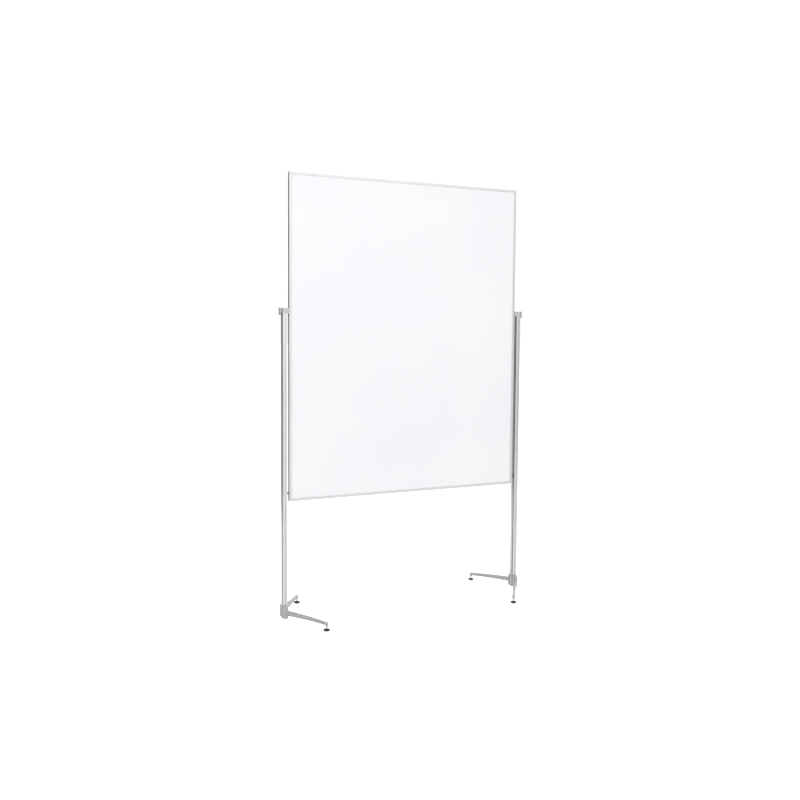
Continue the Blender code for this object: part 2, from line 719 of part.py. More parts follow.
def make_leg(side_name, side, end_name, end, group, cutters, parent):
    """One casting: an upright shoe against the post, an arm to the foot, and a boss for its stem."""
    tag = side_name + "_" + end_name
    x = side * POST_X
    near = POST_HALF_DEPTH + GAP
    far = near + SHOE_DEPTH
    half_width = SHOE_HALF_WIDTHS[end_name]
    low_y, high_y = sorted((end * near, end * far))
    leg = block(
        "leg_" + tag, (x - half_width, low_y, SHOE_BOTTOM), (x + half_width, high_y, SHOE_TOP),
        group, radius=SHOE_ROUND, segments=4, keep_sharp=lambda middle: abs(middle.y) < near + MM,
    )
    groove_floor = end * (far - SHOE_GROOVE_DEPTH)
    low_y, high_y = sorted((groove_floor, end * (far + CUT_OVERRUN)))
    groove = block(
        "leg_groove_" + tag, (x - SHOE_GROOVE_HALF, low_y, SHOE_BOTTOM - CUT_OVERRUN),
        (x + SHOE_GROOVE_HALF, high_y, SHOE_TOP + CUT_OVERRUN), cutters,
    )
    boolean(leg, groove, "DIFFERENCE")
    start = Vector((x, end * (near + SHOE_DEPTH / 2), 0))
    foot = Vector((side * PAD_X, end * PAD_Y, 0))
    boolean(leg, make_arm("leg_arm_" + tag, start, foot, cutters), "UNION")
    boolean(leg, make_boss("leg_boss_" + tag, foot, cutters), "UNION")
    bore = rod("leg_bore_" + tag, foot + Vector((0, 0, BOSS_BOTTOM - CUT_OVERRUN)),
               foot + Vector((0, 0, STEM_BORE_TOP)), STEM_BORE_RADIUS, cutters)
    boolean(leg, bore, "DIFFERENCE")
    cut_bolt_holes(leg, x, end, tag, cutters)
    return finish_part(leg, "cast_silver", parent)


def make_leg_bolts(side_name, side, group, cutters, parent):
    x = side * POST_X
    seat = BOLT_SEAT + GAP
    top = seat + BOLT_CAP_HEIGHT
    for level, height in BOLT_HEIGHTS.items():
        tag = level + "_" + side_name
        bolt = rod("leg_bolt_" + tag, (x, -BOLT_TIP, height), (x, seat + MM, height), BOLT_RADIUS, group)
        cap = rod("leg_bolt_cap_" + tag, (x, seat, height), (x, top, height), BOLT_CAP_RADIUS, cutters)
        boolean(bolt, cap, "UNION")
        socket = rod("leg_bolt_socket_" + tag, (x, top - BOLT_SOCKET_DEPTH, height), (x, top + MM, height),
                     BOLT_SOCKET_RADIUS, cutters, segments=6)
        boolean(bolt, socket, "DIFFERENCE")
        finish_part(bolt, "zinc_steel", parent)


def make_pad(name, place, group):
    """A low round pad with a domed top and a socket for the stem, turned about the stem's axis."""
    rim = PAD_RADIUS - 0.4 * MM
    profile = [
        (0, SOCKET_FLOOR),
        (SOCKET_RADIUS, SOCKET_FLOOR),
        (SOCKET_RADIUS, PAD_HEIGHT - GAP),
        (5.5 * MM, PAD_HEIGHT - GAP),
        (9.5 * MM, 7.0 * MM),
        (12.8 * MM, 5.6 * MM),
        (rim, 4.0 * MM),
        (PAD_RADIUS, 2.4 * MM),
        (rim, 0.8 * MM),
        (13.8 * MM, 0),
        (0, 0),
    ]
    pad = turned(name, profile, group)
    pad.location = place
    return pad


def make_stem(name, place, group, cutters):
    """A threaded stem with a hexagonal collar just above the pad."""
    stem = rod(name, (0, 0, STEM_BOTTOM), (0, 0, STEM_TOP), STEM_RADIUS, group)
    collar = rod(name + "_collar", (0, 0, PAD_HEIGHT), (0, 0, PAD_HEIGHT + COLLAR_HEIGHT), COLLAR_RADIUS,
                 cutters, segments=6)
    stem.location = place
    collar.location = place
    boolean(stem, collar, "UNION")
    return stem


def make_foot(side_name, side, end_name, end, group, cutters):
    place = Vector((side * PAD_X, end * PAD_Y, 0))
    lift = empty("foot_lift_" + side_name + "_" + end_name, place, group)
    pad = make_pad("foot_pad_" + side_name + "_" + end_name, place, group)
    finish_part(pad, "black_rubber", lift)
    stem = make_stem("foot_stem_" + side_name + "_" + end_name, place, group, cutters)
    finish_part(stem, "zinc_steel", lift)


def make_stand(side_name, side, group, cutters):
    base = empty("stand_" + side_name, (side * POST_X, 0, 0), group)
    make_post(side_name, side, group, cutters, base)
    make_head(side_name, side, group, cutters, base)
    make_head_screw(side_name, side, group, cutters, base)
    make_clamp_nut(side_name, side, group, cutters, base)
    make_clamp_knob(side_name, side, group, cutters)
    make_guide(side_name, side, group, cutters, base)
    make_bottom_plug(side_name, side, group, cutters, base)
    make_leg_bolts(side_name, side, group, cutters, base)
    for end_name, end in ENDS.items():
        make_leg(side_name, side, end_name, end, group, cutters, base)
        make_foot(side_name, side, end_name, end, group, cutters)


def main():
    clear_scene()
    group = collection(COLLECTION)
    cutters = collection("cutters")
    make_board(group)
    for side_name, side in SIDES.items():
        make_stand(side_name, side, group, cutters)


main()
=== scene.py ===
"""Looks for the whiteboard: procedural materials, fine castings, threads and knobs, a studio and the camera.

Everything is in the CAD frame: metres, X along the board, the front writing side faces -Y, Z is up.
"""
import json
import math

import bmesh
import bpy
from mathutils import Matrix, Vector


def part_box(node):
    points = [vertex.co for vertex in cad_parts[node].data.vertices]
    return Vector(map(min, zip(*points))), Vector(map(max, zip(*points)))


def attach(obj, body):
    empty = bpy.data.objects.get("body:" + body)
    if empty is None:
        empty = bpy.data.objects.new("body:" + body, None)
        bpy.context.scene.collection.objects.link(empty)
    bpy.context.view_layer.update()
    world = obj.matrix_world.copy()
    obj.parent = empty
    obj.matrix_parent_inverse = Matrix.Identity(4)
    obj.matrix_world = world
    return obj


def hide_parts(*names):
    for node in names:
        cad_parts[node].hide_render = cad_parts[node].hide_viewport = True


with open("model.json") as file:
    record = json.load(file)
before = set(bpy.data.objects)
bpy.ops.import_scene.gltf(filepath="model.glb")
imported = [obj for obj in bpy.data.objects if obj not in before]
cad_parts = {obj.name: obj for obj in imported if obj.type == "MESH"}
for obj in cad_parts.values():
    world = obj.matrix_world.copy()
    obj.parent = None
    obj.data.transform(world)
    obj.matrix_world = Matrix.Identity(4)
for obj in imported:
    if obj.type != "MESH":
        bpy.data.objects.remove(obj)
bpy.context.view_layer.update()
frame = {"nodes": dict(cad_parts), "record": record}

MM = 0.001
SIDES = ("left", "right")
ENDS = {"front": -1, "rear": 1}
NODES = frame["nodes"]

# The span of Y between the recesses' edges in the posts' sides, which the posts' material paints dark as
# shade
POST_RECESS = (-12.5 * MM, -3.5 * MM)
RECESS_BLEND = 0.2 * MM
PAINTED_SHADE_REACH = 0.012        # how near another surface has to be for the painted shade to darken the metal

# Levelling feet
PAD_RIBS = 36
POINTS_PER_RIB = 4
RIB_DEPTH = 0.022            # as a share of the pad's radius
THREAD_CREST = 3.0 * MM
THREAD_ROOT = 2.5 * MM
THREAD_PITCH = 1.0 * MM
THREAD_FLAT = 0.12           # share of a turn's rise that is flat, at its root and at its crest
THREAD_FLANK = 0.76          # and the share between them
THREAD_STEPS = 8             # rings of points for each turn
THREAD_INSET = 0.6 * MM      # from the collar, and from the stem's top
STEM_CHAMFER = 0.3 * MM
STEM_TIP_TRIM = 0.2 * MM     # taken off the root's radius at the stem's top
STEM_POINTS = 32             # points in each ring
COLLAR_GAP = 0.3 * MM
COLLAR_HEIGHT = 3 * MM
COLLAR_REACH = 4.5 * MM      # from the middle to each of its six flats
COLLAR_CHAMFER = 0.35 * MM   # how high the turned part of its corners is
COLLAR_FACE_TRIM = 1.05 * MM  # taken off its corners at the two faces
COLLAR_SIDE_TRIM = 0.15 * MM  # and between them

# Enamelled sheets
SHEET_COLUMNS = 48
SHEET_LINES = 60
SHEET_EDGE = 0.5 * MM
SHEET_ROLL = 0.12 * MM       # how far the sheet's rim turns inward
SHEET_DIP = 0.04 * MM

# Camera
SENSOR_WIDTH = 36
FOCAL_SHARE = 1.0834         # focal length over the picture's width
CAMERA_PLACE = (-1.8045, -3.7945, 1.3632)
CAMERA_YAW = 24.948
CAMERA_PITCH = 3.753
CAMERA_ROLL = 0.436
CAMERA_SHIFT = -0.0215       # the picture's middle lies this share of its width below the lens axis

# Studio
FLOOR_LEVEL = -7.2 * MM      # just under the pads when they are screwed right down
FLOOR_RADIUS = 60
FLOOR_GLOW = 0.18
FLOOR_GLOW_SEEN = 0.5        # added where the camera itself sees the floor
WORLD_SEEN = 1.08            # to the camera and in reflections
WORLD_LIGHT = 0.94           # as light on surfaces
KEY_PLACE = (-2.4, -2.6, 3.6)
KEY_TARGET = (0, 0, 1.2)
KEY_SIZE = (2.6, 2.0)
KEY_POWER = 22

# Each flag's name, its two ends in plan, its height and its tone
FLAGS = (
    ("flag_behind_left", (-3.6, 1.9), (0.2, 2.6), 3.4, 0.22),
    ("flag_left", (-3.4, -2.2), (-3.6, 1.9), 3.0, 0.26),
    ("flag_front_right", (2.8, -3.6), (5.0, -0.6), 3.4, 0.46),
)


# ---------------------------------------------------------------- material building

class Surface:
    """A Principled material with short calls for the nodes that drive it."""

    def __init__(self, name, metallic=0.0, **fixed):
        self.material = bpy.data.materials.new(name)
        self.material.use_nodes = True
        self.tree = self.material.node_tree
        self.shader = self.tree.nodes["Principled BSDF"]
        self.shader.inputs["Metallic"].default_value = metallic
        for socket, value in fixed.items():
            self.shader.inputs[socket.replace("_", " ")].default_value = value
        self.place = self.add("ShaderNodeTexCoord").outputs["Object"]

    def add(self, kind, **settings):
        node = self.tree.nodes.new(kind)
        for name, value in settings.items():
            setattr(node, name, value)
        return node

    def link(self, output, socket):
        self.tree.links.new(output, socket)

    def stretched(self, scale):
        """Object coordinates scaled per axis; a small factor draws a pattern out along that axis."""
        mapping = self.add("ShaderNodeMapping")
        mapping.inputs["Scale"].default_value = scale
        self.link(self.place, mapping.inputs["Vector"])
        return mapping.outputs["Vector"]

    def noise(self, size, detail=3.0, stretch=(1, 1, 1), roughness=0.5):
        """Noise with features of about the given size in metres."""
        node = self.add("ShaderNodeTexNoise")
        node.inputs["Scale"].default_value = 1 / size
        node.inputs["Detail"].default_value = detail
        node.inputs["Roughness"].default_value = roughness
        self.link(self.stretched(stretch), node.inputs["Vector"])
        return node.outputs["Fac"]

    def spots(self, size, stretch=(1, 1, 1)):
        """Distance to the nearest of scattered points."""
        node = self.add("ShaderNodeTexVoronoi")
        node.inputs["Scale"].default_value = 1 / size
        self.link(self.stretched(stretch), node.inputs["Vector"])
        return node.outputs["Distance"]

    def between(self, value, low, high, to_low, to_high):
        node = self.add("ShaderNodeMapRange", interpolation_type="SMOOTHSTEP")
        node.inputs["From Min"].default_value = low
        node.inputs["From Max"].default_value = high
        node.inputs["To Min"].default_value = to_low
        node.inputs["To Max"].default_value = to_high
        self.link(value, node.inputs["Value"])
        return node.outputs["Result"]

    def math(self, operation, first, second):
        node = self.add("ShaderNodeMath", operation=operation)
        for socket, value in zip(node.inputs, (first, second)):
            if isinstance(value, float):
                socket.default_value = value
            else:
                self.link(value, socket)
        return node.outputs["Value"]

    def mixed(self, factor, first, second):
        """A colour between two colours, each a tuple or another node's output."""
        node = self.add("ShaderNodeMix", data_type="RGBA")
        self.link(factor, node.inputs["Factor"])
        for socket, value in ((node.inputs[6], first), (node.inputs[7], second)):
            if isinstance(value, tuple):
                socket.default_value = (*value, 1.0)
            else:
                self.link(value, socket)
        return node.outputs[2]

    def colour(self, output):
        self.link(output, self.shader.inputs["Base Color"])

    def roughness(self, output):
        self.link(output, self.shader.inputs["Roughness"])

    def bump(self, *layers):
        """Stacked bumps, each (height output, depth in metres, strength)."""
        normal = None
        for height, depth, strength in layers:
            node = self.add("ShaderNodeBump")
            node.inputs["Distance"].default_value = depth
            node.inputs["Strength"].default_value = strength
            self.link(height, node.inputs["Height"])
            if normal is not None:
                self.link(normal, node.inputs["Normal"])
            normal = node.outputs["Normal"]
        self.link(normal, self.shader.inputs["Normal"])


def drawn_out(axis, factor):
    """Stretch factors that draw a pattern out along one axis: 0, 1 or 2."""
    return tuple(factor if index == axis else 1.0 for index in range(3))


# ---------------------------------------------------------------- materials

def enamel():
    """White enamelled steel: faint orange peel, slow waviness, and wipe marks in the gloss only."""
    made = Surface("enamel_white", Specular_IOR_Level=0.5, Coat_Weight=0.25, Coat_Roughness=0.08)
    cloud = made.noise(0.55, detail=2.0)
    made.colour(made.mixed(made.between(cloud, 0.3, 0.7, 0, 1), (0.842, 0.850, 0.872), (0.868, 0.874, 0.892)))
    wipes = made.noise(0.05, detail=5.0, stretch=(0.12, 1.0, 0.9), roughness=0.6)
    made.roughness(made.between(wipes, 0.3, 0.75, 0.16, 0.27))
    peel = made.noise(0.0016, detail=2.0)
    wave = made.noise(0.16, detail=1.0)
    made.bump((wave, 0.0006, 0.25), (peel, 0.00002, 0.35))
    return made.material


def anodised(name, axis, dullness=0.0, recess=None):
    """Satin anodised extrusion with its die lines drawn out along one axis; metal near other surfaces is
    darkened with painted shade.

    A recess is a (front, rear) span of Y in which the metal is painted dark grey, standing in for the shade
    in the recess.
    """
    made = Surface(name, metallic=1.0)
    lines = made.noise(0.0011, detail=4.0, stretch=drawn_out(axis, 0.004), roughness=0.65)
    bands = made.noise(0.006, detail=2.0, stretch=drawn_out(axis, 0.01))
    cloud = made.noise(0.09, detail=3.0)
    scuffs = made.spots(0.02, stretch=drawn_out(axis, 0.35))
    base = made.mixed(made.between(cloud, 0.35, 0.7, 0, 1), (0.860, 0.864, 0.870), (0.905, 0.908, 0.912))
    rubbed = made.mixed(made.between(lines, 0.45, 0.75, 0, 0.5), base, (0.94, 0.94, 0.94))
    worn = made.mixed(made.between(scuffs, 0.0, 0.05, 0.35, 0), rubbed, (0.76, 0.76, 0.76))
    # Painted shade: where ambient occlusion finds other surfaces near, the colour is darkened towards dark
    # grey.
    painted_shade_ao = made.add("ShaderNodeAmbientOcclusion", samples=8)
    painted_shade_ao.inputs["Distance"].default_value = PAINTED_SHADE_REACH
    painted_shade_colour = made.mixed(made.between(painted_shade_ao.outputs["AO"], 0.25, 0.95, 0.95, 0), worn, (0.16, 0.16, 0.17))
    # Painted shade: the posts' recess is painted dark grey, standing in for the shade in it.
    if recess:
        parts = made.add("ShaderNodeSeparateXYZ")
        made.link(made.place, parts.inputs["Vector"])
        front, rear = recess
        behind_front = made.between(parts.outputs["Y"], front, front + RECESS_BLEND, 0, 1)
        before_rear = made.between(parts.outputs["Y"], rear - RECESS_BLEND, rear, 1, 0)
        recess_shade_mask = made.math("MULTIPLY", behind_front, before_rear)
        painted_shade_colour = made.mixed(made.math("MULTIPLY", recess_shade_mask, 0.85), painted_shade_colour, (0.24, 0.24, 0.25))
    made.colour(painted_shade_colour)
    satin = made.between(lines, 0.3, 0.75, 0.20 + dullness, 0.31 + dullness)
    made.roughness(made.math("ADD", satin, made.between(bands, 0.3, 0.7, 0, 0.06)))
    made.bump((bands, 0.00008, 0.25), (lines, 0.00004, 0.5))
    return made.material


def cast_silver(name, metallic):
    """Silver-coated die casting: fine grain, soft mottling, and edges rubbed a little brighter."""
    made = Surface(name, metallic=metallic)
    grain = made.noise(0.0007, detail=3.0, roughness=0.6)
    flow = made.noise(0.012, detail=3.0)
    pores = made.spots(0.0035)
    edge = made.add("ShaderNodeNewGeometry").outputs["Pointiness"]
    body = made.mixed(made.between(flow, 0.3, 0.7, 0, 1), (0.530, 0.533, 0.540), (0.605, 0.607, 0.611))
    specked = made.mixed(made.between(pores, 0.02, 0.10, 0.4, 0), body, (0.42, 0.42, 0.43))
    made.colour(made.mixed(made.between(edge, 0.51, 0.56, 0, 0.6), specked, (0.83, 0.83, 0.83)))
    satin = made.between(grain, 0.3, 0.7, 0.34, 0.48)
    made.roughness(made.math("ADD", satin, made.between(flow, 0.3, 0.7, -0.03, 0.05)))
    made.bump((flow, 0.0004, 0.12), (grain, 0.00005, 0.5))
    return made.material


def zinc_steel():
    """Bright zinc plate: crystalline spangle, turning marks and a faint warm and cool tint."""
    made = Surface("zinc_steel", metallic=1.0)
    spangle = made.spots(0.0018)
    tint = made.noise(0.004, detail=2.0)
    turning = made.noise(0.0004, detail=2.0, stretch=(1, 1, 4))
    cool = made.mixed(made.between(tint, 0.35, 0.65, 0, 1), (0.60, 0.62, 0.66), (0.68, 0.66, 0.61))
    made.colour(made.mixed(made.between(spangle, 0.1, 0.6, 0, 0.6), cool, (0.74, 0.74, 0.75)))
    made.roughness(made.between(turning, 0.3, 0.7, 0.22, 0.38))
    made.bump((turning, 0.00003, 0.5))
    return made.material


def grey_plastic():
    """Moulded nylon with a fine spark-eroded texture."""
    made = Surface("grey_plastic", Specular_IOR_Level=0.45)
    grain = made.noise(0.0005, detail=2.0)
    tone = made.noise(0.008, detail=2.0)
    made.colour(made.mixed(made.between(tone, 0.3, 0.7, 0, 1), (0.300, 0.302, 0.308), (0.345, 0.346, 0.350)))
    made.roughness(made.between(grain, 0.3, 0.7, 0.42, 0.62))
    made.bump((grain, 0.00004, 0.6))
    return made.material


def black_rubber():
    """Black moulded foot material, dusty where dust settles."""
    made = Surface("black_rubber", Specular_IOR_Level=0.4)
    grain = made.noise(0.0008, detail=3.0)
    dust = made.noise(0.004, detail=4.0, roughness=0.7)
    normal = made.add("ShaderNodeNewGeometry").outputs["Normal"]
    parts = made.add("ShaderNodeSeparateXYZ")
    made.link(normal, parts.inputs["Vector"])
    upward = made.between(parts.outputs["Z"], 0.5, 1.0, 0, 1)
    settled = made.math("MULTIPLY", upward, made.between(dust, 0.45, 0.75, 0, 0.22))
    made.colour(made.mixed(settled, (0.012, 0.012, 0.013), (0.16, 0.155, 0.15)))
    made.roughness(made.between(grain, 0.3, 0.7, 0.44, 0.66))
    made.bump((grain, 0.00006, 0.6))
    return made.material


def core_paper():
    """Paper honeycomb, hidden between the sheets."""
    made = Surface("core_board", Specular_IOR_Level=0.2)
    cells = made.spots(0.012, stretch=(1, 0.02, 1))
    fibre = made.noise(0.002, detail=4.0, stretch=(0.2, 1, 1))
    base = made.mixed(made.between(fibre, 0.3, 0.7, 0, 1), (0.46, 0.35, 0.23), (0.60, 0.48, 0.34))
    made.colour(made.mixed(made.between(cells, 0.25, 0.55, 0, 0.8), base, (0.30, 0.22, 0.14)))
    made.roughness(made.between(fibre, 0.3, 0.7, 0.8, 0.95))
    made.bump((cells, 0.0008, 0.5), (fibre, 0.0001, 0.5))
    return made.material


MATERIALS = {
    "sheet_white": enamel(),
    "core_board": core_paper(),
    "anodised": anodised("anodised_upright", 2, dullness=0.12),
    "anodised_across": anodised("anodised_across", 0, dullness=0.12),
    "anodised_post": anodised("anodised_post", 2, recess=POST_RECESS),
    "cast_silver": cast_silver("cast_silver", 0.85),
    "cast_head": cast_silver("cast_head", 0.3),
    "zinc_steel": zinc_steel(),
    "grey_plastic": grey_plastic(),
    "black_rubber": black_rubber(),
}


# ---------------------------------------------------------------- pieces

def node_slot(node):
    for entry in frame["record"]["subparts"]:
        if entry["node"] == node:
            return entry["material_slot"]
    raise ValueError(node)


def node_body(node):
    for body, members in frame["record"]["behaviour"]["bodies"].items():
        if node in members:
            return body
    raise ValueError(node)


def mesh_from_bmesh(bm, name):
    mesh = bpy.data.meshes.new(name)
    bm.to_mesh(mesh)
    bm.free()
    return mesh


def mesh_object(name, mesh):
    obj = bpy.data.objects.new(name, mesh)
    bpy.context.scene.collection.objects.link(obj)
    return obj


def stand_in(piece, node, finish=None, sharp_angle=30):
    """Puts a finished piece in a CAD node's place, on its body and with its slot."""
    slot = node_slot(node)
    piece.data.materials.clear()
    piece.data.materials.append(MATERIALS[finish or slot])
    if sharp_angle:
        piece.data.shade_smooth()
        piece.data.set_sharp_from_angle(angle=math.radians(sharp_angle))
    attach(piece, node_body(node))
    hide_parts(node)
    return piece


def welded_copy(node, name):
    """A new object with a CAD node's shape as one closed mesh, its flat faces rejoined."""
    bm = bmesh.new()
    bm.from_mesh(NODES[node].data)
    bmesh.ops.remove_doubles(bm, verts=bm.verts, dist=0.002 * MM)
    bmesh.ops.dissolve_limit(bm, angle_limit=math.radians(0.3), verts=bm.verts, edges=bm.edges)
    return mesh_object(name, mesh_from_bmesh(bm, name))


def baked(obj):
    """Replaces an object's mesh by what its modifiers make of it."""
    bpy.context.view_layer.update()
    made = bpy.data.meshes.new_from_object(obj.evaluated_get(bpy.context.evaluated_depsgraph_get()))
    obj.modifiers.clear()
    obj.data = made
    return obj


def softened(node, width, segments=2, angle=35, finish=None):
    """A CAD node with its hard edges broken."""
    piece = welded_copy(node, node + "_fine")
    bevel = piece.modifiers.new("edges", "BEVEL")
    bevel.width = width
    bevel.segments = segments
    bevel.limit_method = "ANGLE"
    bevel.angle_limit = math.radians(angle)
    baked(piece)
    piece.data.shade_smooth()
    piece.data.set_sharp_from_angle(angle=math.radians(60))
    normals = piece.modifiers.new("flats", "WEIGHTED_NORMAL")
    normals.mode = "FACE_AREA"
    normals.weight = 50
    normals.keep_sharp = True
    baked(piece)
    return stand_in(piece, node, finish, sharp_angle=None)


def casting(node, voxel, passes, finish=None):
    """A CAD node with every inner and outer edge run together, as a casting's are."""
    piece = welded_copy(node, node + "_cast")
    remesh = piece.modifiers.new("remesh", "REMESH")
    remesh.mode = "VOXEL"
    remesh.voxel_size = voxel
    smooth = piece.modifiers.new("smooth", "SMOOTH")
    smooth.factor = 0.5
    smooth.iterations = passes
    baked(piece)
    return stand_in(piece, node, finish, sharp_angle=60)


def grid_mesh(name, rows):
    """A closed skin through rings of points, capped at both ends."""
    bm = bmesh.new()
    rings = [[bm.verts.new(point) for point in row] for row in rows]
    for ring, following in zip(rings, rings[1:]):
        count = len(ring)
        for index in range(count):
            after = (index + 1) % count
            bm.faces.new((ring[index], ring[after], following[after], following[index]))
    bm.faces.new(list(reversed(rings[0])))
    bm.faces.new(rings[-1])
    bmesh.ops.recalc_face_normals(bm, faces=bm.faces)
    return mesh_from_bmesh(bm, name)


def circle(centre, radius, height, count, wobble=None):
    points = []
    for index in range(count):
        angle = math.tau * index / count
        reach = radius if wobble is None else radius + wobble(angle)
        points.append((centre.x + reach * math.cos(angle), centre.y + reach * math.sin(angle), height))
    return points


def foot_centre(side_name, end_name):
    low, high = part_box("foot_pad_" + side_name + "_" + end_name)
    return (low + high) / 2


# The pad's outline: share of the radius, share of the height, and how much of the ribs' depth shows
PAD_PROFILE = (
    (0.60, 0.00, 0), (0.90, 0.00, 0), (0.945, 0.03, 0.5), (0.985, 0.09, 1), (0.998, 0.17, 1),
    (1.0, 0.26, 1), (1.0, 0.36, 1), (0.998, 0.44, 1), (0.985, 0.52, 0.8), (0.955, 0.58, 0.4),
    (0.91, 0.62, 0), (0.86, 0.655, 0), (0.83, 0.655, 0), (0.80, 0.665, 0), (0.70, 0.75, 0),
    (0.60, 0.82, 0), (0.50, 0.875, 0), (0.44, 0.905, 0), (0.405, 0.94, 0), (0.385, 0.975, 0),
    (0.365, 1.0, 0), (0.30, 1.0, 0), (0.265, 0.985, 0), (0.25, 0.95, 0), (0.245, 0.60, 0),
)


def make_pad(side_name, end_name):
    """A moulded pad: ribbed rim, rolled edges, a shallow dish on top and a raised socket."""
    node = "foot_pad_" + side_name + "_" + end_name
    low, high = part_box(node)
    centre = (low + high) / 2
    radius = (high.x - low.x) / 2
    height = high.z - low.z
    rows = []
    for reach, rise, ribbed in PAD_PROFILE:
        depth = RIB_DEPTH * radius * ribbed
        rows.append(circle(
            centre, reach * radius, low.z + rise * height, PAD_RIBS * POINTS_PER_RIB,
            lambda angle, depth=depth: -depth * (0.5 + 0.5 * math.cos(PAD_RIBS * angle)),
        ))
    piece = mesh_object(node + "_moulded", grid_mesh(node + "_moulded", rows))
    return stand_in(piece, node, sharp_angle=45)


def thread_radius(turn):
    """The radius across one turn of thread: a flat crest, sloping flanks and a flat root."""
    slope = abs(2 * (turn % 1.0) - 1)
    share = min(1.0, max(0.0, (slope - THREAD_FLAT) / THREAD_FLANK))
    return THREAD_ROOT + (THREAD_CREST - THREAD_ROOT) * share


def thread_ring(centre, height, turns):
    """One ring of points across the thread, which has made this many turns where the ring starts."""
    ring = []
    for index in range(STEM_POINTS):
        share = index / STEM_POINTS
        reach = thread_radius(turns - share)
        angle = math.tau * share
        ring.append((centre.x + reach * math.cos(angle), centre.y + reach * math.sin(angle), height))
    return ring


def hexagon(centre, height, trim):
    """One ring of the collar: a hexagon with its corners turned down by the trim."""
    limit = COLLAR_REACH / math.cos(math.pi / 6) - trim
    count = STEM_POINTS * 3
    ring = []
    for index in range(count):
        angle = math.tau * index / count
        flat = COLLAR_REACH / math.cos((angle % (math.pi / 3)) - math.pi / 6)
        reach = min(flat, limit)
        ring.append((centre.x + reach * math.cos(angle), centre.y + reach * math.sin(angle), height))
    return ring


def make_stem(side_name, end_name):
    """A real screw: helical thread, chamfered tip, and a hexagonal collar with turned corners."""
    node = "foot_stem_" + side_name + "_" + end_name
    low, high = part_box(node)
    centre = foot_centre(side_name, end_name)
    pad_low, pad_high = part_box("foot_pad_" + side_name + "_" + end_name)
    collar_low = pad_high.z + COLLAR_GAP
    collar_high = collar_low + COLLAR_HEIGHT
    collar_rows = [
        hexagon(centre, collar_low, COLLAR_FACE_TRIM),
        hexagon(centre, collar_low + COLLAR_CHAMFER, COLLAR_SIDE_TRIM),
        hexagon(centre, collar_high - COLLAR_CHAMFER, COLLAR_SIDE_TRIM),
        hexagon(centre, collar_high, COLLAR_FACE_TRIM),
    ]
    start = collar_high + THREAD_INSET
    rows = [
        circle(centre, THREAD_ROOT, low.z, STEM_POINTS),
        circle(centre, THREAD_CREST, low.z + STEM_CHAMFER, STEM_POINTS),
        circle(centre, THREAD_CREST, collar_low, STEM_POINTS),
        circle(centre, THREAD_ROOT, start - STEM_CHAMFER, STEM_POINTS),
    ]
    total = int((high.z - THREAD_INSET - start) / THREAD_PITCH * THREAD_STEPS)
    for step in range(total + 1):
        turns = step / THREAD_STEPS
        rows.append(thread_ring(centre, start + THREAD_PITCH * turns, turns))
    rows.append(circle(centre, THREAD_ROOT - STEM_TIP_TRIM, high.z, STEM_POINTS))
    bm = bmesh.new()
    bm.from_mesh(grid_mesh(node + "_shaft", rows))
    bm.from_mesh(grid_mesh(node + "_collar", collar_rows))
    piece = mesh_object(node + "_screw", mesh_from_bmesh(bm, node + "_screw"))
    return stand_in(piece, node, sharp_angle=40)


def grid_lines(low, high, count):
    """Evenly spaced places from low to high, with one more just inside each end."""
    places = [low, low + SHEET_EDGE]
    places += [low + (high - low) * i / count for i in range(1, count)]
    return places + [high - SHEET_EDGE, high]


def rim_loop(columns, lines):
    """The grid's outermost (line, column) places, once around."""
    loop = [(0, i) for i in range(columns)]
    loop += [(j, columns - 1) for j in range(1, lines)]
    loop += [(lines - 1, i) for i in range(columns - 2, -1, -1)]
    return loop + [(j, 0) for j in range(lines - 2, 0, -1)]


def make_sheet(end_name):
    """An enamelled sheet with turned-over edges and the slight dips such a thin sheet has."""
    end = ENDS[end_name]
    node = "writing_sheet_" + end_name
    low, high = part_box(node)
    outer = low.y if end < 0 else high.y
    inner = high.y if end < 0 else low.y
    xs = grid_lines(low.x, high.x, SHEET_COLUMNS)
    zs = grid_lines(low.z, high.z, SHEET_LINES)
    bm = bmesh.new()
    sides = []
    for face_y, rolled in ((outer, True), (inner, False)):
        rows = []
        for j, z in enumerate(zs):
            row = []
            for i, x in enumerate(xs):
                rim = i in (0, len(xs) - 1) or j in (0, len(zs) - 1)
                dip = SHEET_DIP * math.sin(5.1 * x + 2.0 * z) * math.sin(4.3 * z - 1.3 * x) + SHEET_DIP
                inward = SHEET_ROLL if rim else dip
                row.append(bm.verts.new((x, face_y - end * inward if rolled else face_y, z)))
            rows.append(row)
        sides.append(rows)
        for j in range(len(zs) - 1):
            for i in range(len(xs) - 1):
                bm.faces.new((rows[j][i], rows[j][i + 1], rows[j + 1][i + 1], rows[j + 1][i]))
    front, back = sides
    loop = rim_loop(len(xs), len(zs))
    for (j, i), (m, n) in zip(loop, loop[1:] + loop[:1]):
        bm.faces.new((front[j][i], front[m][n], back[m][n], back[j][i]))
    bmesh.ops.recalc_face_normals(bm, faces=bm.faces)
    piece = mesh_object(node + "_enamelled", mesh_from_bmesh(bm, node + "_enamelled"))
    return stand_in(piece, node, sharp_angle=60)


def dress_nodes():
    """Every CAD node gets its slot's finished material, whether or not a finer piece replaces it."""
    for name, obj in NODES.items():
        slot = node_slot(name)
        if name in ("frame_top", "frame_bottom"):
            slot = "anodised_across"
        obj.data.materials.clear()
        obj.data.materials.append(MATERIALS[slot])


